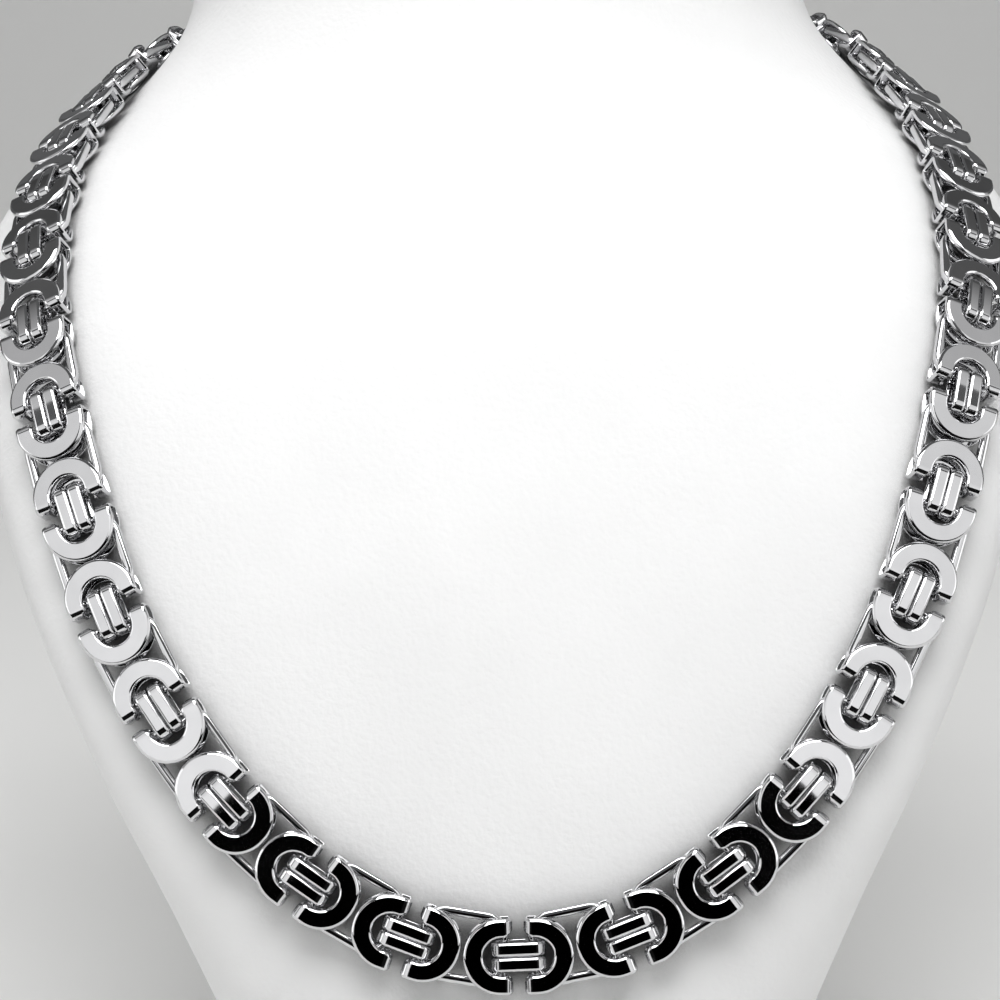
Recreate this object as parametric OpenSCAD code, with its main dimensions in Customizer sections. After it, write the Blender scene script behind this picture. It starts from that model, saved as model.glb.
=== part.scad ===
// Byzantine chain of flat folded clips, lying on a plain neck bust.
// The part stands on the bust's flat base. X is across the shoulders, the chest
// faces -Y and +Z is up. The chain is one closed loop, the same on both sides of X = 0.

/* [Bust] */
// Height from the base to the cut top of the neck
bust_height = 200; // [180:5:240]
// Width across the shoulders
bust_width = 173; // [160:1:200]
// Depth from the front of the chest to the back of the neck
bust_depth = 168; // [155:1:185]

/* [Chain] */
// Distance from one pair of clips to the next
pitch = 16.45; // [16.2:0.05:18]
// Clear space between the chain's back and the bust
lying_gap = 0.25; // [0.2:0.05:0.5]
// Shortest space that the clasp may fill
clasp_least = 18; // [17:0.5:24]

/* [Folded clips] */
// Width of the chain
clip_width = 11; // [10.6:0.1:12]
// Height of a clip, from its back face to its front face
clip_height = 4.2; // [4:0.1:5]
// Width of the flat band that a clip is cut from
band = 2.7; // [2.4:0.05:2.9]
// Thickness of that band
plate = 0.8; // [0.6:0.05:0.9]
// Slot between the tips of two clips that face each other
tip_slot = 1.6; // [1.4:0.1:1.8]
// How far the round end of a clip's hole stands in from the middle of its round outside
hole_shift = 0.2; // [0:0.05:0.25]
// Gap between two clips that lie back to back
clip_gap = 0.3; // [0.25:0.05:0.8]
// Thickness of the leg folded down at each tip
leg = 0.5; // [0.4:0.05:0.55]
// How far the leg stands back from the clip's hole
leg_inset = 0.8; // [0.75:0.05:1]
// Outer radius of the fold at each tip
fold_r = 1.3; // [0.6:0.05:1.4]

/* [Centre loops] */
// Length of a loop along the chain
loop_length = 8; // [7.9:0.05:8.2]
// Width of one loop across the chain
loop_width = 1.95; // [1.6:0.05:2.1]
// Slit between the two loops of a pair
loop_slit = 0.25; // [0.2:0.05:0.4]
// Thickness of the loop's bar
loop_bar = 0.6; // [0.5:0.05:0.65]
// How far a loop stands above and below the clips
loop_rise = 0.1; // [0:0.05:0.2]
// Outer radius of the loop's rounded ends
loop_r = 1.6; // [1:0.05:1.8]

/* [Side rings] */
// Width of the ring's bar at its two ends
ring_bar = 0.9; // [0.8:0.05:0.95]
// Width of the ring's long sides
ring_side = 1.35; // [1:0.05:1.4]
// Height of the ring
ring_height = 1.5; // [1.2:0.1:1.7]
// Distance from the middle of a clip pair to the ring's end
ring_start = 1.8; // [1.8:0.05:1.9]
// Outer radius of the ring's corners
ring_r = 3.6; // [3.4:0.1:4]

/* [Clasp] */
// Height of the clasp's body
clasp_height = 4; // [3.4:0.1:4.2]
// Radius of the body's long edges
clasp_r = 1.2; // [0.6:0.1:1.6]
// Length of the eye at each end of the clasp
eye_length = 8; // [7.8:0.1:8.4]
// Space left in the clasp for the last loops to turn
clasp_play = 0.8; // [0.7:0.1:1.2]

/* [Hidden] */
$fn = 64;

// Sections of the bust: height as a share of bust_height, half width as a share of
// half of bust_width, then front, axis and back as shares of bust_depth, then squareness
sections = [
    [0.00, 0.51, 0.03, 0.27, 0.61, 2.6],
    [0.08, 0.52, 0.005, 0.26, 0.61, 3.2],
    [0.19, 0.61, 0.02, 0.25, 0.63, 4.4],
    [0.31, 0.74, 0.053, 0.28, 0.65, 6],
    [0.44, 0.87, 0.105, 0.35, 0.69, 6.6],
    [0.56, 0.96, 0.165, 0.45, 0.76, 4.8],
    [0.67, 1.00, 0.235, 0.58, 0.84, 3.0],
    [0.73, 0.925, 0.295, 0.63, 0.90, 2.4],
    [0.79, 0.75, 0.37, 0.67, 0.95, 2.0],
    [0.85, 0.635, 0.41, 0.69, 0.98, 2.0],
    [0.925, 0.60, 0.435, 0.705, 0.99, 2.0],
    [1.00, 0.59, 0.45, 0.72, 1.00, 2.0]
];
// Route of the chain over one side: station, height as a share of bust_height, and
// angle round the bust's axis from the front
route = [
    [0, 0.187, 0],
    [1, 0.2014, 22.6],
    [2, 0.2435, 38.8],
    [3, 0.3, 48.5],
    [4, 0.366, 53.7],
    [5, 0.4315, 56.1],
    [7, 0.564, 57.2],
    [9, 0.667, 58.6],
    [11, 0.74, 69],
    [13, 0.794, 89],
    [15, 0.828, 120],
    [17, 0.844, 155],
    [18.4, 0.848, 180]
];
bust_rings = 40;
bust_sides = 60;
// Step round the bust, in degrees, of the differences that give its slope
turn_step = 3;
// Halvings that place each unit along the route
halvings = 22;
// Longest stretch of route, in stations, that one unit can take
reach = 2.2;

clip_r = clip_width / 2;
hole_r = clip_r - band;
clip_centre = pitch / 2 - clip_gap / 2 - clip_r;
loop_height = clip_height + 2 * loop_rise;
loop_side = loop_slit / 2 + loop_width / 2;
ring_length = pitch - 2 * ring_start;
// The clasp's body ends in the middle of its ring's long sides
clasp_width = clip_width - ring_side;
// A unit rides so high that the straight links between two units clear the curved bust
sagitta = 0.55;
ride = loop_height / 2 + lying_gap + sagitta;

// Smooth values between the rows of a table, with all columns at once
function slope(table, i) =
    let (a = max(i - 1, 0), b = min(i + 1, len(table) - 1))
    (table[b] - table[a]) / (table[b][0] - table[a][0]);
function row_below(table, x, i = 0) =
    i >= len(table) - 2 || x < table[i + 1][0] ? i : row_below(table, x, i + 1);
function blend(table, x) =
    let (
        i = row_below(table, x),
        h = table[i + 1][0] - table[i][0],
        t = (x - table[i][0]) / h
    )
    table[i] * (2 * t^3 - 3 * t^2 + 1) + slope(table, i) * h * (t^3 - 2 * t^2 + t)
    + table[i + 1] * (3 * t^2 - 2 * t^3) + slope(table, i + 1) * h * (t^3 - t^2);

// A point of the bust at a share of its height and an angle from the front
function bust_point(share, angle) =
    let (
        row = blend(sections, share),
        half = row[1] * bust_width / 2,
        axis = row[3] * bust_depth,
        depth = cos(angle) > 0 ? axis - row[2] * bust_depth : row[4] * bust_depth - axis,
        n = row[5],
        r = ((abs(cos(angle)) / depth)^n + (abs(sin(angle)) / half)^n)^(-1 / n)
    )
    [r * sin(angle), axis - r * cos(angle) - bust_depth / 2, share * bust_height];
function unit(v) = v / norm(v);
// The chain's middle line: a place and an outward direction at each station. Where the
// bust is hollow across the chain, the chain lies on its two edges.
function normal_at(s) =
    let (
        row = blend(route, s),
        edge = clip_r / bust_height,
        round = bust_point(row[1], row[2] + turn_step) - bust_point(row[1], row[2] - turn_step)
    )
    unit(cross(round, bust_point(row[1] + edge, row[2]) - bust_point(row[1] - edge, row[2])));
function place_at(s) =
    let (
        row = blend(route, s),
        edge = clip_r / bust_height,
        middle = bust_point(row[1], row[2]),
        edges = (bust_point(row[1] + edge, row[2]) + bust_point(row[1] - edge, row[2])) / 2,
        out = normal_at(s)
    )
    middle + (ride + max((edges - middle) * out, 0)) * out;
last_station = route[len(route) - 1][0];
function next_station(from, low, high, left) =
    let (middle = (low + high) / 2)
    left == 0 ? middle
    : norm(place_at(middle) - from) < pitch ? next_station(from, middle, high, left - 1)
    : next_station(from, low, middle, left - 1);
function stations(list) =
    let (
        s = list[len(list) - 1],
        next = next_station(place_at(s), s, min(s + reach, last_station), halvings)
    )
    place_at(next)[0] < clasp_least / 2 ? list : stations(concat(list, [next]));
side = stations([0]);
n = len(side) - 1;
function flip(v) = [-v[0], v[1], v[2]];
right_places = [for (s = side) place_at(s)];
right_normals = [for (s = side) normal_at(s)];
places = [for (i = [-n:n]) i < 0 ? flip(right_places[-i]) : right_places[i]];
normals = [for (i = [-n:n]) i < 0 ? flip(right_normals[-i]) : right_normals[i]];

// The clasp closes the loop on a circle through the two end places, square to the nape
nape_out = normal_at(last_station);
nape_back = (places[0] + places[2 * n]) / 2;
nape_rise = (place_at(last_station) - nape_back) * nape_out;
nape_half = places[2 * n][0];
nape_r = (nape_half^2 + nape_rise^2) / (2 * nape_rise);
nape_turn = asin(nape_half / nape_r);
// Directions from each end place along that circle to the far end of the clasp's eye
eye_turn = nape_turn - 2 * asin((ring_start + eye_length) / 2 / nape_r);
eye_way = unit([nape_r * (sin(eye_turn) - sin(nape_turn)), 0, 0]
    + nape_r * (cos(eye_turn) - cos(nape_turn)) * nape_out);
// Directions of the link that runs from place i to the next one
function along(i) = unit(places[i + 1] - places[i]);
function square_to(v, d) = unit(v - (v * d) * d);
function out(i) = square_to(normals[i] + normals[i + 1], along(i));
// Directions of the pair of clips at place i, halfway between what it joins
function unit_along(i) =
    unit((i == 0 ? -flip(eye_way) : along(i - 1)) + (i == 2 * n ? eye_way : along(i)));
function unit_out(i) = square_to(normals[i], unit_along(i));

// Puts children at a place, with X along d and Z along the outward direction o
module place(p, d, o) {
    y = cross(o, d);
    multmatrix([
        [d[0], y[0], o[0], p[0]],
        [d[1], y[1], o[1], p[1]],
        [d[2], y[2], o[2], p[2]],
        [0, 0, 0, 1]
    ]) children();
}

// A flat slab in X and Y, centred on Z
module slab(height) {
    translate([0, 0, -height / 2]) linear_extrude(height) children();
}

// A rectangle with round corners, centred on the origin
module rounded(length, width, r) {
    square([length - 2 * r, width], center = true);
    square([length, width - 2 * r], center = true);
    for (x = [-1, 1], y = [-1, 1])
        translate([x * (length / 2 - r), y * (width / 2 - r)]) circle(r);
}

// Outline of a clip from its tips at X = 0 to the round end, r from its middle line
module horseshoe(r, centre) {
    translate([centre, 0]) circle(r);
    translate([0, -r]) square([centre, 2 * r]);
}

// Front and back plates with a leg folded between them at each tip, open towards -X
module clip() {
    reach_x = clip_centre + clip_r;
    intersection() {
        union() {
            difference() {
                slab(clip_height) difference() {
                    horseshoe(clip_r, clip_centre);
                    horseshoe(hole_r, clip_centre - hole_shift);
                }
                slab(clip_height - 2 * plate) square(4 * reach_x, center = true);
            }
            for (y = [-1, 1])
                slab(clip_height - plate) translate([tip_slot / 2, 0])
                    square_strip(y * (hole_r + leg_inset), y * clip_r);
        }
        rotate([90, 0, 0]) slab(2 * clip_width)
            translate([tip_slot / 2 + reach_x, 0]) rounded(2 * reach_x, clip_height, fold_r);
    }
}
module square_strip(from, to) {
    translate([0, min(from, to)]) square([leg, abs(to - from)]);
}

// A flat bar closed to a loop that stands across the plates
module centre_loop() {
    rotate([90, 0, 0]) slab(loop_width) difference() {
        rounded(loop_length, loop_height, loop_r);
        rounded(loop_length - 2 * loop_bar, loop_height - 2 * loop_bar, loop_r - loop_bar);
    }
}

// A ring whose long sides show between the clips and whose ends the loops hold
module side_ring(length) {
    slab(ring_height) difference() {
        rounded(length, clip_width, ring_r);
        rounded(length - 2 * ring_bar, clip_width - 2 * ring_side, ring_r - ring_side);
    }
}

// The two loops and the clips of one place
module pair(i) {
    p = places[i];
    d = unit_along(i);
    place(p, d, unit_out(i)) for (y = [-1, 1]) translate([0, y * loop_side, 0]) centre_loop();
    if (i < 2 * n) place(p, square_to(d, out(i)), out(i)) clip();
    if (i > 0) place(p, square_to(d, out(i - 1)), out(i - 1)) mirror([1, 0, 0]) clip();
}

// The ring from place i to the next one
module link(i) {
    place((places[i] + places[i + 1]) / 2, along(i), out(i)) side_ring(ring_length);
}

module neck_bust() {
    rings = [for (k = [0:bust_rings]) [for (a = [0:bust_sides - 1])
        bust_point(k / bust_rings, a * 360 / bust_sides)]];
    m = bust_sides;
    color("white") polyhedron(
        points = [for (ring = rings) each ring],
        faces = concat(
            [[for (a = [0:m - 1]) a]],
            [[for (a = [m - 1:-1:0]) bust_rings * m + a]],
            [for (k = [0:bust_rings - 1], a = [0:m - 1])
                [k * m + a, (k + 1) * m + a, (k + 1) * m + (a + 1) % m, k * m + (a + 1) % m]]
        )
    );
}

module chain_left() {
    color("silver") {
        for (i = [0:n - 1]) pair(i);
        for (i = [0:n - 1]) link(i);
    }
}

module chain_right() {
    color("silver") {
        for (i = [n:2 * n]) pair(i);
        for (i = [n:2 * n - 1]) link(i);
    }
}

// One plain piece round the nape, with an eye at each end that holds the last loops
module clasp() {
    free = 2 * asin((loop_length / 2 + clasp_play) / 2 / nape_r);
    color("silver") {
        for (side = [-1, 1]) {
            from = side > 0 ? places[2 * n] : places[0];
            way = side > 0 ? eye_way : flip(eye_way);
            outward = square_to(nape_out, way);
            place(from + (ring_start + eye_length / 2) * way, way, outward) side_ring(eye_length);
        }
        place(nape_back + (nape_rise - nape_r) * nape_out, [1, 0, 0], nape_out)
            clasp_body(2 * (nape_turn - free));
    }
}

// The clasp's body: a bar bent round Y, with its middle on Z and its long edges rounded
module clasp_body(turn) {
    rotate([-90, -90, 0]) rotate([0, 0, -turn / 2]) rotate_extrude(angle = turn)
        translate([nape_r, 0]) rounded(clasp_height, clasp_width, clasp_r);
}

neck_bust();
chain_left();
chain_right();
clasp();
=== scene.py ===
import bmesh, bpy, math
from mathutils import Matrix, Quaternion, Vector


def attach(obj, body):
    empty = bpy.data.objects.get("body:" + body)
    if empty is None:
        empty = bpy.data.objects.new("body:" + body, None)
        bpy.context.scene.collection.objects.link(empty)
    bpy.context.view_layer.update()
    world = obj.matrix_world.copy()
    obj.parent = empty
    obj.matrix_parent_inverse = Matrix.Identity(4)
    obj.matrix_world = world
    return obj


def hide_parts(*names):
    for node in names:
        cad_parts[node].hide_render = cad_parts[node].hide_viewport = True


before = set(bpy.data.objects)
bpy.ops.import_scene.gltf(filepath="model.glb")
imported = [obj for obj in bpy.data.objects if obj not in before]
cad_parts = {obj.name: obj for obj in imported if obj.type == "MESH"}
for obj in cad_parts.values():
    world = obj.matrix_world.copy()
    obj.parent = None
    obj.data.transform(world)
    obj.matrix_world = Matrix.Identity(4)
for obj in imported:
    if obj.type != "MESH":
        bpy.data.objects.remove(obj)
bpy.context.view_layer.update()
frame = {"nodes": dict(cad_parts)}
mm = 0.001
print("stage: frame loaded with", ", ".join(frame["nodes"]))

# the form of the bust, in mm, with its sections from the base to the cut top of the neck
neckBust = {
    "height": 200,
    "width": 173,
    "depth": 168,
    # height share, half width share, front, axis and back shares of the depth, squareness
    "sections": [
        (0.00, 0.51, 0.03, 0.27, 0.61, 2.6),
        (0.08, 0.52, 0.005, 0.26, 0.61, 3.2),
        (0.19, 0.61, 0.02, 0.25, 0.63, 4.4),
        (0.31, 0.74, 0.053, 0.28, 0.65, 6),
        (0.44, 0.87, 0.105, 0.35, 0.69, 6.6),
        (0.56, 0.96, 0.165, 0.45, 0.76, 4.8),
        (0.67, 1.00, 0.235, 0.58, 0.84, 3.0),
        (0.73, 0.925, 0.295, 0.63, 0.90, 2.4),
        (0.79, 0.75, 0.37, 0.67, 0.95, 2.0),
        (0.85, 0.635, 0.41, 0.69, 0.98, 2.0),
        (0.925, 0.60, 0.435, 0.705, 0.99, 2.0),
        (1.00, 0.59, 0.45, 0.72, 1.00, 2.0),
    ],
    "rings": 110,
    "sides": 168,
    "topEdge": 2.5,      # radius where the cover turns over the cut neck
    "topEdgeSteps": 6,
    "baseEdge": 1.2,
    "baseEdgeSteps": 4,
    "coverInset": 0.05,  # how far the cover lies within the sections
}

# how the chain runs over one side of the bust, and how its pairs are spaced, in mm
chainRoute = {
    # station, height share, angle from the front in degrees
    "rows": [
        (0, 0.187, 0),
        (1, 0.2014, 22.6),
        (2, 0.2435, 38.8),
        (3, 0.3, 48.5),
        (4, 0.366, 53.7),
        (5, 0.4315, 56.1),
        (7, 0.564, 57.2),
        (9, 0.667, 58.6),
        (11, 0.74, 69),
        (13, 0.794, 89),
        (15, 0.828, 120),
        (17, 0.844, 155),
        (18.4, 0.848, 180),
    ],
    "pitch": 16.45,
    "ride": 3.0,         # from the bust's cover to the middle of a link
    "claspLeast": 18,    # shortest space for the clasp
    "turnStep": 3,       # degrees either way for the bust's slope round it
    "halvings": 22,      # in the search for the next pair
    "reach": 2.2,        # how many stations ahead that search looks
}

foldedClip = {
    "width": 11,
    "height": 4.2,
    "band": 2.7,
    "plate": 0.8,
    "leg": 0.5,
    "legInset": 0.8,
    "tipSlot": 1.6,
    "holeShift": 0.2,    # how far the hole's round end stands in from the round outside's middle
    "backGap": 0.3,      # between two clips that lie back to back
    "foldRadius": 1.3,
    "foldInside": 0.12,  # the fold's inner radius
    "foldLead": 0.15,    # flat stretch before the fold
    "halfway": 0.45,     # share of the straight arm where a row of points stands
    "outerBevel": 0.42,
    "holeBevel": 0.3,
    "bevelSlope": 0.75,  # depth to width
    "arcSteps": 30,
    "foldSteps": 5,
}

sideRing = {
    "start": 1.8,        # from the middle of a pair to the ring's end
    "bar": 0.9,          # at the ends
    "side": 1.35,        # along the long sides
    "height": 1.5,
    "cornerRadius": 3.6,
    "outerRound": 0.45,  # the roundings' shares of the bar's width
    "innerRound": 0.3,
    "depthRound": 0.42,  # millimetres
    "roundSteps": 3,
    "cornerSteps": 9,
}

clasp = {
    "height": 4,
    "play": 0.8,
    "edgeRadius": 1.2,
    "eyeLength": 8,
    "edgeSteps": 5,
    "bendSteps": 16,
    # the rounding of its two ends: how far in from the sides, and how far along the bar
    "endRound": [(0.35, 0), (0.1, 0.105), (0, 0.35)],
}


# smooth values between the rows of a table, with all columns at once
def tableSlope(table, i):
    low, high = table[max(i - 1, 0)], table[min(i + 1, len(table) - 1)]
    return [(b - a) / (high[0] - low[0]) for a, b in zip(low, high)]


def tableRow(table, x):
    i = 0
    while i < len(table) - 2 and x >= table[i + 1][0]:
        i += 1
    step = table[i + 1][0] - table[i][0]
    t = (x - table[i][0]) / step
    rise, fall = 3 * t ** 2 - 2 * t ** 3, 2 * t ** 3 - 3 * t ** 2 + 1
    leave, arrive = step * (t ** 3 - 2 * t ** 2 + t), step * (t ** 3 - t ** 2)
    return [a * fall + m * leave + b * rise + n * arrive for a, m, b, n in
            zip(table[i], tableSlope(table, i), table[i + 1], tableSlope(table, i + 1))]


# a point of the bust at a share of its height, its angle taken from the front round the axis
def bustPoint(share, angle, inset=0):
    _, wide, front, middle, back, square = tableRow(neckBust["sections"], share)
    half = wide * neckBust["width"] / 2
    axis = middle * neckBust["depth"]
    c, s = math.cos(math.radians(angle)), math.sin(math.radians(angle))
    depth = axis - front * neckBust["depth"] if c > 0 else back * neckBust["depth"] - axis
    r = ((abs(c) / depth) ** square + (abs(s) / half) ** square) ** (-1 / square) - inset
    return Vector((r * s, axis - r * c - neckBust["depth"] / 2, share * neckBust["height"]))


# the two points of the bust under the chain's upper and lower edge
def underEdges(share, angle):
    edge = foldedClip["width"] / 2 / neckBust["height"]
    return bustPoint(share + edge, angle), bustPoint(share - edge, angle)


def routeNormal(station):
    _, share, angle = tableRow(chainRoute["rows"], station)
    step = chainRoute["turnStep"]
    around = bustPoint(share, angle + step) - bustPoint(share, angle - step)
    upper, lower = underEdges(share, angle)
    return around.cross(upper - lower).normalized()


def routePlace(station):
    _, share, angle = tableRow(chainRoute["rows"], station)
    middle = bustPoint(share, angle)
    upper, lower = underEdges(share, angle)
    outward = routeNormal(station)
    seat = max(((upper + lower) / 2 - middle).dot(outward), 0)
    return middle + (chainRoute["ride"] + seat) * outward


# stations one pitch apart in a straight line, from the lowest pair to the one beside the clasp
def pairStations():
    found = [0]
    last = chainRoute["rows"][-1][0]
    while True:
        here = routePlace(found[-1])
        low, high = found[-1], min(found[-1] + chainRoute["reach"], last)
        for _ in range(chainRoute["halvings"]):
            middle = (low + high) / 2
            if (routePlace(middle) - here).length < chainRoute["pitch"]:
                low = middle
            else:
                high = middle
        following = (low + high) / 2
        if routePlace(following).x < chainRoute["claspLeast"] / 2:
            return found
        found.append(following)


def squareTo(v, d):
    return (v - v.dot(d) * d).normalized()


rightSide = [(routePlace(s), routeNormal(s)) for s in pairStations()]
flipped = [(Vector((-p.x, p.y, p.z)), Vector((-o.x, o.y, o.z))) for p, o in rightSide]
pairs = flipped[:0:-1] + rightSide
lastPair = len(pairs) - 1

# the clasp lies on a circle through the two end pairs, square to the nape
napeOut = routeNormal(chainRoute["rows"][-1][0])
napeBack = (pairs[0][0] + pairs[lastPair][0]) / 2
napeRise = (routePlace(chainRoute["rows"][-1][0]) - napeBack).dot(napeOut)
napeHalf = pairs[lastPair][0].x
napeRadius = (napeHalf ** 2 + napeRise ** 2) / (2 * napeRise)
napeTurn = math.asin(napeHalf / napeRadius)
eyeTurn = napeTurn - 2 * math.asin((sideRing["start"] + clasp["eyeLength"]) / 2 / napeRadius)
eyeWay = (Vector((math.sin(eyeTurn) - math.sin(napeTurn), 0, 0))
          + (math.cos(eyeTurn) - math.cos(napeTurn)) * napeOut).normalized()
eyeWayLeft = Vector((-eyeWay.x, eyeWay.y, eyeWay.z))
linkWays = [(b[0] - a[0]).normalized() for a, b in zip(pairs, pairs[1:])]
linkOuts = [squareTo(a[1] + b[1], d) for a, b, d in zip(pairs, pairs[1:], linkWays)]
print("stage: route laid,", len(pairs), "pairs")


# the photograph's view, as distances from the lowest pair in mm
photoView = {
    "distance": 420,
    "rise": 66,
    "sideways": -1.3,
    "lookDown": 10,      # degrees, as the next two
    "roll": 1.2,
    "fieldOfView": 19.58,
    "nearest": 20,
    "farthest": 20000,
}


def addCamera(target):
    tilt = math.radians(photoView["lookDown"])
    sight = Vector((0, math.cos(tilt), -math.sin(tilt)))
    upward = Vector((0, math.sin(tilt), math.cos(tilt)))
    sideways = Vector((1, 0, 0))
    place = (target + upward * photoView["rise"] - sight * photoView["distance"]
             + sideways * photoView["sideways"])
    data = bpy.data.cameras.new("photoCamera")
    data.angle = math.radians(photoView["fieldOfView"])
    data.clip_start, data.clip_end = photoView["nearest"] * mm, photoView["farthest"] * mm
    camera = bpy.data.objects.new("photoCamera", data)
    bpy.context.scene.collection.objects.link(camera)
    camera.location = place * mm
    camera.rotation_mode = "QUATERNION"
    camera.rotation_quaternion = (Quaternion(sight, math.radians(photoView["roll"]))
                                  @ sight.to_track_quat("-Z", "Y"))
    bpy.context.scene.camera = camera


addCamera(rightSide[0][0])


def newMesh(name, points, faces, sharp=()):
    mesh = bpy.data.meshes.new(name)
    mesh.from_pydata([tuple(p * mm) for p in points], [], faces)
    mesh.polygons.foreach_set("use_smooth", [True] * len(mesh.polygons))
    if sharp:
        pairsOfPoints = {frozenset(e) for e in sharp}
        for edge in mesh.edges:
            edge.use_edge_sharp = frozenset(edge.vertices) in pairsOfPoints
    mesh.update()
    piece = bpy.data.objects.new(name, mesh)
    bpy.context.scene.collection.objects.link(piece)
    return piece


def facedOutwards(piece):
    shape = bmesh.new()
    shape.from_mesh(piece.data)
    bmesh.ops.recalc_face_normals(shape, faces=shape.faces)
    shape.to_mesh(piece.data)
    shape.free()
    return piece


# faces round a stack of equal rings, with both ends closed
def stackFaces(size, count):
    faces = [tuple(reversed(range(size))), tuple(range((count - 1) * size, count * size))]
    for k in range(count - 1):
        for j in range(size):
            beside = (j + 1) % size
            faces.append((k * size + j, k * size + beside,
                          (k + 1) * size + beside, (k + 1) * size + j))
    return faces


# joins sections of equal length round a closed path, with the section's own creases kept sharp
def closedSweep(name, sections, creases):
    size, count = len(sections[0]), len(sections)
    points = [p for section in sections for p in section]
    faces, sharp = [], []
    for k in range(count):
        after = (k + 1) % count
        for j in range(size):
            beside = (j + 1) % size
            faces.append((k * size + j, after * size + j, after * size + beside, k * size + beside))
        sharp += [(k * size + j, after * size + j) for j in creases]
    return facedOutwards(newMesh(name, points, faces, sharp))


barEdge = {
    "kneeWidth": 0.3,    # where a bevel bends, as shares of its width and depth
    "kneeDepth": 0.45,
    "inner": 0.08,       # the small bevel on a bar's inner face, in mm
}


# a bar's section, bevelled on its outer face: side of the width and inset from it, then the face
# that the depth is counted from, 0 the outer and 1 the inner one, and that depth
def barSection(startBevel, endBevel, slope):
    wide, deep, inner = barEdge["kneeWidth"], barEdge["kneeDepth"], barEdge["inner"]
    return [
        (0, startBevel, 0, 0), (1, endBevel, 0, 0),
        (1, endBevel * wide, 0, endBevel * deep * slope), (1, 0, 0, endBevel * slope),
        (1, 0, 1, -inner), (1, inner, 1, 0),
        (0, inner, 1, 0), (0, 0, 1, -inner),
        (0, 0, 0, startBevel * slope), (0, startBevel * wide, 0, startBevel * deep * slope),
    ]


# that section across a path, from an outer to an inner point, over a stretch of the width
def barCut(section, outer, inner, wide, start, end, thick):
    return [outer.lerp(inner, face + depth / thick) + (end - inset if side else start + inset) * wide
            for side, inset, face, depth in section]


def addClip():
    c = foldedClip
    radius, hole = c["width"] / 2, c["width"] / 2 - c["band"]
    centre = chainRoute["pitch"] / 2 - c["backGap"] / 2 - radius
    tip, top, r = c["tipSlot"] / 2, c["height"] / 2, c["foldRadius"]
    section = barSection(c["holeBevel"], c["outerBevel"], c["bevelSlope"])
    under, shift, bend = top - c["plate"], c["holeShift"], c["foldInside"]
    straight = (centre * (1 - c["halfway"]) + (tip + r) * c["halfway"], tip + r + c["foldLead"])
    rows = []
    for face in (1, -1):
        wide = Vector((0, face, 0))

        def flatCut(x, across, side=face, start=hole):
            outer, inner = Vector((x, 0, top * side)), Vector((x, 0, under * side))
            return barCut(section, outer, inner, across, start, radius, c["plate"])

        def foldCut(step, side):
            a, share = math.radians(90 * step / c["foldSteps"]), step / c["foldSteps"]
            outer = Vector((tip + r - r * math.sin(a), 0, (top - r + r * math.cos(a)) * side))
            inner = Vector((tip + c["leg"] + bend - bend * math.sin(a), 0,
                            (under - bend + bend * math.cos(a)) * side))
            thick = c["plate"] + (c["leg"] - c["plate"]) * share
            return barCut(section, outer, inner, wide, hole + c["legInset"] * share, radius, thick)

        for k in range(c["arcSteps"] + 1):
            a = math.radians(-90 + 180 * k / c["arcSteps"]) * face
            start = math.sqrt(hole ** 2 - (shift * math.sin(a)) ** 2) - shift * math.cos(a)
            rows.append(flatCut(centre, Vector((math.cos(a), math.sin(a), 0)), start=start))
        rows += [flatCut(x, wide) for x in straight]
        rows += [foldCut(k, face) for k in range(c["foldSteps"] + 1)]
        rows += [foldCut(k, -face) for k in range(c["foldSteps"], -1, -1)]
        rows += [flatCut(x, wide, -face) for x in reversed(straight)]
    return closedSweep("foldedClip", rows, (0, 1))


# a rounded rectangle: the places on its outline, each with its outward way
def roundedPath(length, width, r, steps):
    path = []
    for cx, cy, start in ((1, 1, 0), (-1, 1, 90), (-1, -1, 180), (1, -1, 270)):
        for k in range(steps + 1):
            a = math.radians(start + 90 * k / steps)
            x = cx * (length / 2 - r) + r * math.cos(a)
            y = cy * (width / 2 - r) + r * math.sin(a)
            path.append((x, y, math.cos(a), math.sin(a)))
    return path


centreLoop = {
    "length": 8,
    "width": 1.95,
    "height": 4.4,
    "bar": 0.6,
    "slit": 0.25,
    "endRadius": 1.6,
    "bevel": 0.36,
    "bevelSlope": 0.6,
    "cornerSteps": 6,
    "looseTurn": 2.5,    # degrees that a pair of loops may lie askew
    "looseTilt": 0.6,    # degrees that a clip or a pair of loops may lean
    "seed": 7,
}


def addLoop():
    c = centreLoop
    half, across = c["width"] / 2, Vector((0, 1, 0))
    section = barSection(c["bevel"], c["bevel"], c["bevelSlope"])
    rows = []
    for x, z, outX, outZ in roundedPath(c["length"], c["height"], c["endRadius"], c["cornerSteps"]):
        outer, outward = Vector((x, 0, z)), Vector((outX, 0, outZ))
        inner = outer - c["bar"] * outward
        rows.append(barCut(section, outer, inner, across, -half, half, c["bar"]))
    return closedSweep("centreLoop", rows, (0, 1))


# a ring's bar in section, from its outline inwards, with both edges rounded
def ringCut(outer, inner):
    c, width = sideRing, (inner - outer).length
    inwards = (inner - outer) / width
    section = []
    for face, side, share in ((1, 0, c["outerRound"]), (-1, 0, c["outerRound"]),
                              (-1, 1, c["innerRound"]), (1, 1, c["innerRound"])):
        corner = []
        for k in range(c["roundSteps"] + 1):
            a = math.radians(90 * k / c["roundSteps"])
            reach, drop = share * width * (1 - math.sin(a)), c["depthRound"] * (1 - math.cos(a))
            level = Vector((0, 0, face * (c["height"] / 2 - drop)))
            corner.append(outer + (width - reach if side else reach) * inwards + level)
        section += corner if face * (1 - 2 * side) > 0 else reversed(corner)
    return section


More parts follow.
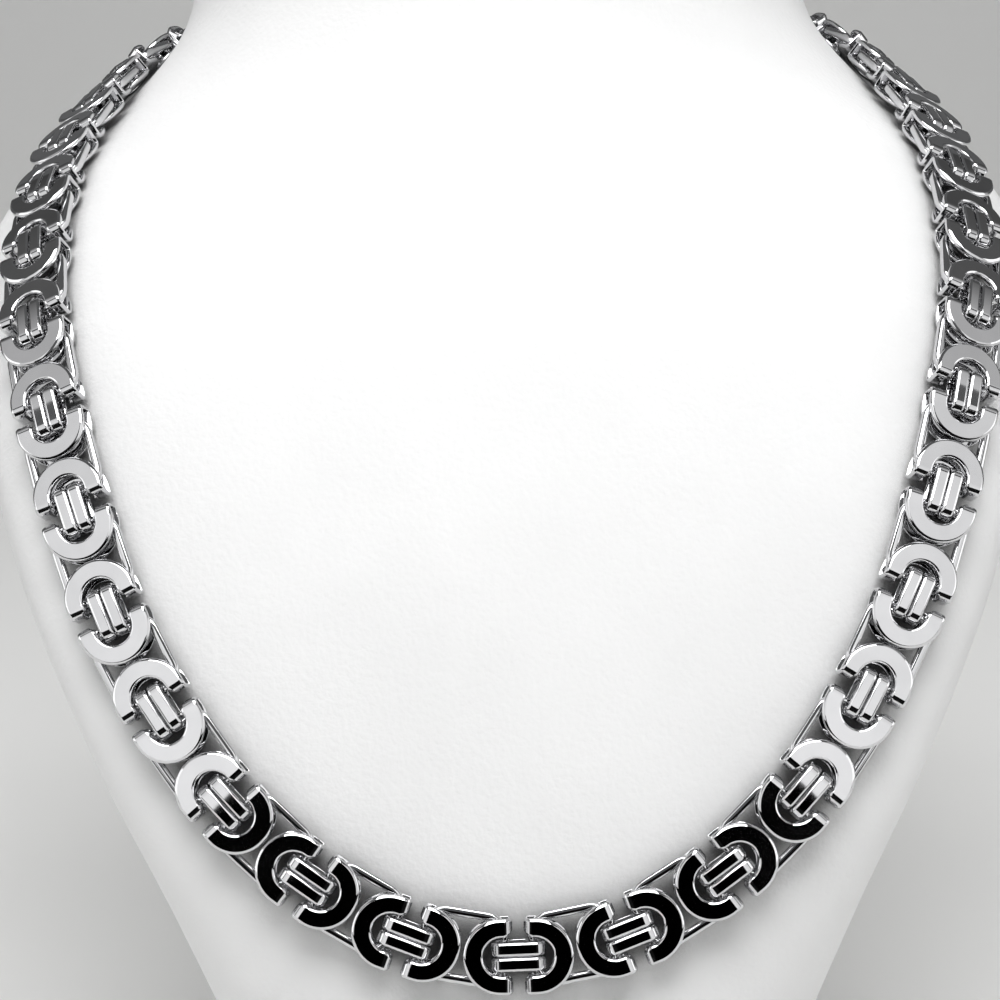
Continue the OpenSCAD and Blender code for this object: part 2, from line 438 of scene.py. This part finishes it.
def addRing(name, length):
    c = sideRing
    outline = roundedPath(length, foldedClip["width"], c["cornerRadius"], c["cornerSteps"])
    opening = roundedPath(length - 2 * c["bar"], foldedClip["width"] - 2 * c["side"],
                          c["cornerRadius"] - c["side"], c["cornerSteps"])
    rows = [ringCut(Vector((*a[:2], 0)), Vector((*b[:2], 0))) for a, b in zip(outline, opening)]
    return closedSweep(name, rows, ())


linkShapes = {"clip": addClip(), "loop": addLoop(),
              "ring": addRing("sideRing", chainRoute["pitch"] - 2 * sideRing["start"])}
for shape in linkShapes.values():
    print("stage: link shape", shape.name, "with", len(shape.data.polygons), "faces")


# fine wear or grain: a value and a height that change over the surface, used by every finish
def fineWearGroup():
    tree = bpy.data.node_groups.new("fineWear", "ShaderNodeTree")
    face = tree.interface
    face.new_socket("Place", in_out="INPUT", socket_type="NodeSocketVector")
    for label, value in (("Cloud size", 100), ("Grain size", 1500), ("Contrast", 1)):
        socket = face.new_socket(label, in_out="INPUT", socket_type="NodeSocketFloat")
        socket.default_value = value
    for label in ("Clouds", "Grain"):
        face.new_socket(label, in_out="OUTPUT", socket_type="NodeSocketFloat")
    nodes, links = tree.nodes, tree.links
    given, put = nodes.new("NodeGroupInput"), nodes.new("NodeGroupOutput")
    for label, size, detail in (("Clouds", "Cloud size", 3), ("Grain", "Grain size", 2)):
        noise = nodes.new("ShaderNodeTexNoise")
        noise.inputs["Detail"].default_value = detail
        links.new(given.outputs["Place"], noise.inputs["Vector"])
        links.new(given.outputs[size], noise.inputs["Scale"])
        centred = nodes.new("ShaderNodeMath")
        centred.operation = "SUBTRACT"
        centred.inputs[1].default_value = 0.5
        stretched = nodes.new("ShaderNodeMath")
        stretched.operation = "MULTIPLY_ADD"
        stretched.inputs[2].default_value = 0.5
        links.new(noise.outputs["Fac"], centred.inputs[0])
        links.new(centred.outputs[0], stretched.inputs[0])
        links.new(given.outputs["Contrast"], stretched.inputs[1])
        links.new(stretched.outputs[0], put.inputs[label])
    return tree


fineWear = fineWearGroup()

polishedSteel = {
    "darkTint": (0.56, 0.56, 0.57),
    "lightTint": (0.66, 0.66, 0.67),
    "smoothest": 0.045,
    "roughest": 0.09,
    "cloudSize": 160,
    "grainSize": 240,
    "contrast": 1.4,
    "ripple": 0.000008,  # metres
    "specular": 0.5,
}

whiteLeatherette = {
    "shade": (0.80, 0.80, 0.80),
    "light": (0.86, 0.86, 0.86),
    "smoothest": 0.5,
    "roughest": 0.66,
    "cloudSize": 40,
    "grainSize": 1100,
    "contrast": 1.6,
    "grainDepth": 0.00006,
    "specular": 0.3,
    # painted shade: the cover's colour is darkened where the chain lies close, in place of its
    # contact shadow
    "paintedShadeReach": 0.006,    # metres within which other pieces shade the cover
    "paintedShadeLeft": 0.12,     # how much of the colour is left where it is quite covered
    "paintedShadeDark": 0.1,       # openness below which it counts as quite covered
    "paintedShadeClear": 0.8,      # and from which nothing is shaded
    "paintedShadeSamples": 4,
}


# a finish from its values: low and high name its two tints, depth the height of its grain
def finishMaterial(name, look, low, high, depth, metallic):
    material = bpy.data.materials.new(name)
    material.use_nodes = True
    nodes, links = material.node_tree.nodes, material.node_tree.links
    shader = nodes["Principled BSDF"]
    place = nodes.new("ShaderNodeTexCoord")
    wear = nodes.new("ShaderNodeGroup")
    wear.node_tree = fineWear
    wear.inputs["Cloud size"].default_value = look["cloudSize"]
    wear.inputs["Grain size"].default_value = look["grainSize"]
    wear.inputs["Contrast"].default_value = look["contrast"]
    links.new(place.outputs["Object"], wear.inputs["Place"])
    tint = nodes.new("ShaderNodeMix")
    tint.data_type = "RGBA"
    tint.inputs["A"].default_value = (*look[low], 1)
    tint.inputs["B"].default_value = (*look[high], 1)
    links.new(wear.outputs["Clouds"], tint.inputs["Factor"])
    links.new(tint.outputs["Result"], shader.inputs["Base Color"])
    rough = nodes.new("ShaderNodeMapRange")
    rough.inputs["To Min"].default_value = look["smoothest"]
    rough.inputs["To Max"].default_value = look["roughest"]
    links.new(wear.outputs["Clouds"], rough.inputs["Value"])
    links.new(rough.outputs["Result"], shader.inputs["Roughness"])
    bump = nodes.new("ShaderNodeBump")
    bump.inputs["Strength"].default_value = 1
    bump.inputs["Distance"].default_value = look[depth]
    links.new(wear.outputs["Grain"], bump.inputs["Height"])
    links.new(bump.outputs["Normal"], shader.inputs["Normal"])
    shader.inputs["Metallic"].default_value = metallic
    shader.inputs["Specular IOR Level"].default_value = look["specular"]
    return material


# painted shade: darkens a finish's colour where other pieces lie close over it, standing in for the
# contact shadow they cast in the hollows
def paintShadeInHollows(material, look):
    nodes, links = material.node_tree.nodes, material.node_tree.links
    colour = nodes["Principled BSDF"].inputs["Base Color"]
    plain = colour.links[0].from_socket
    covered = nodes.new("ShaderNodeAmbientOcclusion")
    covered.samples = look["paintedShadeSamples"]
    covered.inputs["Distance"].default_value = look["paintedShadeReach"]
    left = nodes.new("ShaderNodeMapRange")
    left.inputs["From Min"].default_value = look["paintedShadeDark"]
    left.inputs["From Max"].default_value = look["paintedShadeClear"]
    left.inputs["To Min"].default_value = look["paintedShadeLeft"]
    links.new(covered.outputs["AO"], left.inputs["Value"])
    shaded = nodes.new("ShaderNodeVectorMath")
    shaded.operation = "SCALE"
    links.new(plain, shaded.inputs[0])
    links.new(left.outputs["Result"], shaded.inputs["Scale"])
    links.new(shaded.outputs["Vector"], colour)


steel = finishMaterial("polishedSteel", polishedSteel, "darkTint", "lightTint", "ripple", 1)
cover = finishMaterial("whiteLeatherette", whiteLeatherette, "shade", "light", "grainDepth", 0)
# painted contact shade on the cover round and under the chain
paintShadeInHollows(cover, whiteLeatherette)
print("stage: finishes made")


# sets a link on every point of a route: kind 0 a clip, 1 a pair of centre loops, 2 a side ring
def linksAlongRoute():
    tree = bpy.data.node_groups.new("linksAlongRoute", "GeometryNodeTree")
    face = tree.interface
    face.new_socket("Route", in_out="INPUT", socket_type="NodeSocketGeometry")
    for label in ("Clip", "Centre loop", "Side ring"):
        face.new_socket(label, in_out="INPUT", socket_type="NodeSocketObject")
    for label in ("Loop spacing", "Loose turn", "Loose tilt"):
        face.new_socket(label, in_out="INPUT", socket_type="NodeSocketFloat")
    face.new_socket("Seed", in_out="INPUT", socket_type="NodeSocketInt")
    face.new_socket("Steel", in_out="INPUT", socket_type="NodeSocketMaterial")
    face.new_socket("Chain", in_out="OUTPUT", socket_type="NodeSocketGeometry")
    nodes, links = tree.nodes, tree.links
    given, put = nodes.new("NodeGroupInput"), nodes.new("NodeGroupOutput")

    def named(label, kind):
        node = nodes.new("GeometryNodeInputNamedAttribute")
        node.data_type = kind
        node.inputs["Name"].default_value = label
        return node.outputs["Attribute"]

    outWay, alongWay = named("outWay", "FLOAT_VECTOR"), named("alongWay", "FLOAT_VECTOR")
    turn = nodes.new("FunctionNodeAxesToRotation")
    turn.primary_axis, turn.secondary_axis = "Z", "X"
    links.new(outWay, turn.inputs["Primary Axis"])
    links.new(alongWay, turn.inputs["Secondary Axis"])

    def onlyKind(kind):
        same = nodes.new("FunctionNodeCompare")
        same.data_type, same.operation = "INT", "EQUAL"
        links.new(named("linkKind", "INT"), same.inputs["A"])
        same.inputs["B"].default_value = kind
        chosen = nodes.new("GeometryNodeSeparateGeometry")
        links.new(given.outputs["Route"], chosen.inputs["Geometry"])
        links.new(same.outputs["Result"], chosen.inputs["Selection"])
        return chosen.outputs["Selection"]

    join = nodes.new("GeometryNodeJoinGeometry")

    def setOn(points, label, rotation):
        shape = nodes.new("GeometryNodeObjectInfo")
        links.new(given.outputs[label], shape.inputs["Object"])
        placed = nodes.new("GeometryNodeInstanceOnPoints")
        links.new(points, placed.inputs["Points"])
        links.new(shape.outputs["Geometry"], placed.inputs["Instance"])
        links.new(rotation, placed.inputs["Rotation"])
        links.new(placed.outputs["Instances"], join.inputs["Geometry"])

    # turns a rotation about one of its own axes, by chance up to an angle either way
    def loosened(rotation, label, axis):
        chance = nodes.new("FunctionNodeRandomValue")
        chance.data_type = "FLOAT"
        lowest = nodes.new("ShaderNodeMath")
        lowest.operation = "MULTIPLY"
        lowest.inputs[1].default_value = -1
        links.new(given.outputs[label], lowest.inputs[0])
        numbers = [s for s in chance.inputs if s.type == "VALUE" and s.name in ("Min", "Max")]
        links.new(lowest.outputs[0], numbers[0])
        links.new(given.outputs[label], numbers[1])
        links.new(given.outputs["Seed"], chance.inputs["Seed"])
        askew = nodes.new("FunctionNodeAxisAngleToRotation")
        askew.inputs["Axis"].default_value = axis
        links.new([s for s in chance.outputs if s.type == "VALUE"][0], askew.inputs["Angle"])
        turned = nodes.new("FunctionNodeRotateRotation")
        turned.rotation_space = "LOCAL"
        links.new(rotation, turned.inputs["Rotation"])
        links.new(askew.outputs["Rotation"], turned.inputs["Rotate By"])
        return turned.outputs["Rotation"]

    leaning = loosened(turn.outputs["Rotation"], "Loose tilt", (0, 1, 0))
    setOn(onlyKind(0), "Clip", leaning)
    setOn(onlyKind(2), "Side ring", turn.outputs["Rotation"])

    # the loops stand side by side, both turned by the same small angle
    loopTurn = loosened(leaning, "Loose turn", (0, 0, 1))
    loopPoints = onlyKind(1)
    for side in (-1, 1):
        reach = nodes.new("ShaderNodeMath")
        reach.operation = "MULTIPLY"
        reach.inputs[1].default_value = side
        links.new(given.outputs["Loop spacing"], reach.inputs[0])
        sideways = nodes.new("ShaderNodeCombineXYZ")
        links.new(reach.outputs[0], sideways.inputs["Y"])
        turned = nodes.new("FunctionNodeRotateVector")
        links.new(sideways.outputs["Vector"], turned.inputs["Vector"])
        links.new(loopTurn, turned.inputs["Rotation"])
        moved = nodes.new("GeometryNodeSetPosition")
        links.new(loopPoints, moved.inputs["Geometry"])
        links.new(turned.outputs["Vector"], moved.inputs["Offset"])
        setOn(moved.outputs["Geometry"], "Centre loop", loopTurn)

    real = nodes.new("GeometryNodeRealizeInstances")
    links.new(join.outputs["Geometry"], real.inputs["Geometry"])
    painted = nodes.new("GeometryNodeSetMaterial")
    links.new(real.outputs["Geometry"], painted.inputs["Geometry"])
    links.new(given.outputs["Steel"], painted.inputs["Material"])
    links.new(painted.outputs["Geometry"], put.inputs["Chain"])
    return tree


linkTree = linksAlongRoute()


# one stretch of chain, as a plain mesh; a spot is a place, its along and out ways, and its kind
def addChain(name, node, firstPair, endPair, firstLink, endLink):
    spots = []
    for i in range(firstPair, endPair):
        place, normal = pairs[i]
        before = linkWays[i - 1] if i > 0 else -eyeWayLeft
        after = linkWays[i] if i < lastPair else eyeWay
        along = (before + after).normalized()
        spots.append((place, along, squareTo(normal, along), 1))
        if i < lastPair:
            spots.append((place, squareTo(along, linkOuts[i]), linkOuts[i], 0))
        if i > 0:
            spots.append((place, -squareTo(along, linkOuts[i - 1]), linkOuts[i - 1], 0))
    for i in range(firstLink, endLink):
        between = (pairs[i][0] + pairs[i + 1][0]) / 2
        spots.append((between, linkWays[i], linkOuts[i], 2))
    mesh = bpy.data.meshes.new(name + "Points")
    mesh.from_pydata([tuple(s[0] * mm) for s in spots], [], [])
    for label, column in (("alongWay", 1), ("outWay", 2)):
        ways = mesh.attributes.new(label, "FLOAT_VECTOR", "POINT")
        ways.data.foreach_set("vector", [v for s in spots for v in s[column]])
    kinds = mesh.attributes.new("linkKind", "INT", "POINT")
    kinds.data.foreach_set("value", [s[3] for s in spots])
    maker = bpy.data.objects.new(name + "Maker", mesh)
    bpy.context.scene.collection.objects.link(maker)
    modifier = maker.modifiers.new("links", "NODES")
    modifier.node_group = linkTree
    values = {
        "Clip": linkShapes["clip"],
        "Centre loop": linkShapes["loop"],
        "Side ring": linkShapes["ring"],
        "Loop spacing": (centreLoop["slit"] + centreLoop["width"]) / 2 * mm,
        "Loose turn": math.radians(centreLoop["looseTurn"]),
        "Loose tilt": math.radians(centreLoop["looseTilt"]),
        "Seed": centreLoop["seed"],
        "Steel": steel,
    }
    for item in linkTree.interface.items_tree:
        if item.in_out == "INPUT" and item.name in values:
            modifier[item.identifier] = values[item.name]
    bpy.context.view_layer.update()
    evaluated = maker.evaluated_get(bpy.context.evaluated_depsgraph_get())
    plain = bpy.data.meshes.new_from_object(evaluated)
    plain.name = name
    for label in ("alongWay", "outWay", "linkKind"):
        if label in plain.attributes:
            plain.attributes.remove(plain.attributes[label])
    piece = bpy.data.objects.new(name, plain)
    bpy.context.scene.collection.objects.link(piece)
    maker.modifiers.clear()
    bpy.data.objects.remove(maker)
    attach(piece, "root")
    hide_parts(node)
    print("stage:", name, "with", len(plain.polygons), "faces")


middlePair = lastPair // 2
addChain("chainLeft", "chain_left", 0, middlePair, 0, middlePair)
addChain("chainRight", "chain_right", middlePair, lastPair + 1, middlePair, lastPair)


# the hidden clasp: a plain bar bent round the nape, with an eye at each end
def addClasp():
    c = clasp
    free = 2 * math.asin((centreLoop["length"] / 2 + c["play"]) / 2 / napeRadius)
    turn = napeTurn - free
    centre = napeBack + (napeRise - napeRadius) * napeOut
    across = napeOut.cross(Vector((1, 0, 0)))
    wide = foldedClip["width"] - sideRing["side"]
    outline = roundedPath(c["height"], wide, c["edgeRadius"], c["edgeSteps"])
    rounding = [(inset, turn - back / napeRadius) for inset, back in c["endRound"]]
    level = rounding[-1][1]
    cuts = [(inset, -a) for inset, a in rounding]
    cuts += [(0, level * (2 * k / c["bendSteps"] - 1)) for k in range(c["bendSteps"] + 1)]
    cuts += reversed(rounding)
    points = []
    for inset, a in cuts:
        outward = math.cos(a) * napeOut + math.sin(a) * Vector((1, 0, 0))
        for up, side, _, _ in outline:
            up, side = up * (1 - 2 * inset / c["height"]), side * (1 - 2 * inset / wide)
            points.append(centre + (napeRadius + up) * outward + side * across)
    bar = newMesh("napeClasp", points, stackFaces(len(outline), len(cuts)))
    whole = bmesh.new()
    whole.from_mesh(bar.data)
    bmesh.ops.remove_doubles(whole, verts=whole.verts, dist=1e-7)   # where two cuts share a place
    for (place, _), way in ((pairs[0], eyeWayLeft), (pairs[lastPair], eyeWay)):
        eye = addRing("claspEye", c["eyeLength"])
        outward = squareTo(napeOut, way)
        beside = outward.cross(way)
        middle = (place + (sideRing["start"] + c["eyeLength"] / 2) * way) * mm
        for v in eye.data.vertices:
            v.co = middle + v.co.x * way + v.co.y * beside + v.co.z * outward
        whole.from_mesh(eye.data)
        bpy.data.objects.remove(eye)
    bmesh.ops.recalc_face_normals(whole, faces=whole.faces)
    whole.to_mesh(bar.data)
    whole.free()
    bar.data.materials.append(steel)
    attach(bar, "root")
    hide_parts("clasp")
    print("stage: clasp with", len(bar.data.polygons), "faces")


addClasp()
for shape in linkShapes.values():
    bpy.data.objects.remove(shape)


def addBust():
    b = neckBust
    upright = b["height"] - b["baseEdge"] - b["topEdge"]
    heights = []         # height and how far the outline draws in there
    for k in range(b["baseEdgeSteps"] + 1):
        a = math.radians(90 * k / b["baseEdgeSteps"])
        heights.append((b["baseEdge"] * (1 - math.cos(a)), b["baseEdge"] * (1 - math.sin(a))))
    for k in range(1, b["rings"]):
        heights.append((b["baseEdge"] + upright * k / b["rings"], 0))
    for k in range(b["topEdgeSteps"] + 1):
        a = math.radians(90 * k / b["topEdgeSteps"])
        drop, draw = b["topEdge"] * (1 - math.sin(a)), b["topEdge"] * (1 - math.cos(a))
        heights.append((b["height"] - drop, draw))
    size, points = b["sides"], []
    for z, inset in heights:
        share, within = z / b["height"], inset + b["coverInset"]
        points += [bustPoint(share, 360 * j / size, within) for j in range(size)]
    bust = facedOutwards(newMesh("neckBust", points, stackFaces(size, len(heights))))
    bust.data.materials.append(cover)
    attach(bust, "root")
    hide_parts("neck_bust")
    print("stage: bust with", len(bust.data.polygons), "faces")


addBust()

studio = {
    "tint": (0.80, 0.80, 0.79),
    "floorSize": 8,
    "sweepStart": 1.2,   # metres behind the bust where the floor turns up
    "sweepRadius": 0.6,
    "sweepHeight": 3,
    "sweepSteps": 12,
    "paperRoughness": 0.7,
    "roomTint": (0.94, 0.95, 0.96),
    "roomStrength": 0.12,
    "mirroredStrength": 0.14,    # what the polished steel sees of the room
    # name: place, aim, width, height in metres, watts
    "softboxes": {
        "overhead": ((0, -0.42, 0.80), (0, -0.05, 0.14), 0.7, 0.5, 7.5),
        "leftSide": ((-0.8, -0.15, 0.22), (0, -0.03, 0.10), 0.5, 0.45, 0.8),
        "rightSide": ((0.8, -0.15, 0.22), (0, -0.03, 0.10), 0.5, 0.45, 0.8),
        "behind": ((0, 0.9, 1.6), (0, 1.1, 0), 2.4, 0.8, 11),
    },
    # boards that only the steel mirrors, as painted reflections: corner, its two ways in metres, and
    # its glow at the corner, after the first way, after both and after the second
    "boards": {
        "darkFront": ((-0.30, -0.94, 0), (0.60, 0, 0), (0, 0, 0.21), (0, 0, 0, 0)),
        "darkTable": ((-0.4, -1.5, 0.002), (0.8, 0, 0), (0, 1.33, 0), (0.01, 0.01, 0.01, 0.01)),
    },
    # more of them, given for the right side and set up on both
    "sideBoards": {
        "dark": ((0.30, -0.94, 0), (0.22, 0.187, 0), (0, 0, 0.15), (0.01, 0.01, 0.02, 0.02)),
        "pale": ((0.30, -0.945, 0.15), (0.47, 0.40, 0), (0, 0, 0.71), (1.25, 0.95, 0.95, 1.8)),
        "low": ((0.52, -0.758, 0), (0.25, 0.213, 0), (0, 0, 0.15), (1.1, 1.0, 1.0, 1.1)),
        "side": ((0.77, -0.545, 0), (0.3, 0.9, 0), (0, 0, 0.45), (1.0, 0.8, 0.4, 0.6)),
        "grey": ((1.3, -0.6, 0.5), (0, 0.95, 0), (0, 0, 1.8), (0.9, 0.14, 0.12, 0.7)),
        "dim": ((1.3, 0.35, 0.5), (0, 1.65, 0), (0, 0, 1.8), (0.14, 0.07, 0.05, 0.12)),
    },
}


def addBackdrop():
    half, start, r = studio["floorSize"] / 2, studio["sweepStart"], studio["sweepRadius"]
    profile = [(-half, 0), (start, 0)]
    for k in range(1, studio["sweepSteps"] + 1):
        a = math.radians(90 * k / studio["sweepSteps"])
        profile.append((start + r * math.sin(a), r - r * math.cos(a)))
    profile.append((start + r, studio["sweepHeight"]))
    points = [Vector((x, y, z)) / mm for y, z in profile for x in (-half, half)]
    faces = [(2 * k, 2 * k + 1, 2 * k + 3, 2 * k + 2) for k in range(len(profile) - 1)]
    pale = bpy.data.materials.new("palePaper")
    pale.use_nodes = True
    shader = pale.node_tree.nodes["Principled BSDF"]
    shader.inputs["Base Color"].default_value = (*studio["tint"], 1)
    shader.inputs["Roughness"].default_value = studio["paperRoughness"]
    for name, part in (("floor", faces[:1]), ("sweep", faces[1:])):
        piece = newMesh(name, points, part)
        piece.data.materials.append(pale)
        piece.visible_glossy = name == "floor"    # the steel sees the room in place of the sweep


def addSoftboxes():
    for name, (place, aim, width, height, watts) in studio["softboxes"].items():
        data = bpy.data.lights.new(name, "AREA")
        data.shape, data.size, data.size_y, data.energy = "RECTANGLE", width, height, watts
        lamp = bpy.data.objects.new(name, data)
        bpy.context.scene.collection.objects.link(lamp)
        lamp.location = place
        lamp.rotation_euler = (Vector(aim) - Vector(place)).to_track_quat("-Z", "Y").to_euler()
        lamp.visible_glossy = name != "behind"    # this one only lights the sweep


# black paper that glows as much as the board's own attribute says; it shows only in the steel's
# mirror, as a painted reflection
def boardMaterial():
    paper = bpy.data.materials.new("paintedReflectionBoard")
    paper.use_nodes = True
    nodes, links = paper.node_tree.nodes, paper.node_tree.links
    shader = nodes["Principled BSDF"]
    shader.inputs["Base Color"].default_value = (0, 0, 0, 1)
    shader.inputs["Specular IOR Level"].default_value = 0
    shader.inputs["Emission Color"].default_value = (1, 1, 1, 1)
    painted = nodes.new("ShaderNodeAttribute")
    painted.attribute_name = "glow"
    links.new(painted.outputs["Fac"], shader.inputs["Emission Strength"])
    return paper


def addBoard(name, paper, corner, across, up, glows):
    corner, across, up = (Vector(v) / mm for v in (corner, across, up))
    points = [corner, corner + across, corner + across + up, corner + up]
    board = newMesh(name, points, [(0, 1, 2, 3)])
    glow = board.data.attributes.new("glow", "FLOAT", "POINT")
    glow.data.foreach_set("value", glows)
    board.data.materials.append(paper)
    # hidden from the camera, diffuse light and shadows, so the board is only a painted reflection in
    # the steel
    board.visible_camera = board.visible_diffuse = board.visible_shadow = False
    board.visible_transmission = False


def addBoards():
    paper = boardMaterial()
    for name, board in studio["boards"].items():
        addBoard(name, paper, *board)
    for name, (*ways, glows) in studio["sideBoards"].items():
        for label, side in (("Left", -1), ("Right", 1)):
            addBoard(name + label, paper, *((x * side, y, z) for x, y, z in ways), glows)


# the room's light, with a strength of its own for what the steel mirrors
def addRoom():
    room = bpy.data.worlds.new("paleRoom")
    room.use_nodes = True
    nodes, links = room.node_tree.nodes, room.node_tree.links
    sky = nodes["Background"]
    sky.inputs["Color"].default_value = (*studio["roomTint"], 1)
    ray = nodes.new("ShaderNodeLightPath")
    strength = nodes.new("ShaderNodeMapRange")
    strength.inputs["To Min"].default_value = studio["roomStrength"]
    strength.inputs["To Max"].default_value = studio["mirroredStrength"]
    links.new(ray.outputs["Is Glossy Ray"], strength.inputs["Value"])
    links.new(strength.outputs["Result"], sky.inputs["Strength"])
    bpy.context.scene.world = room
    bpy.context.scene.view_settings.view_transform = "Standard"


addBackdrop()
addSoftboxes()
addBoards()
addRoom()
print("stage: studio lit")
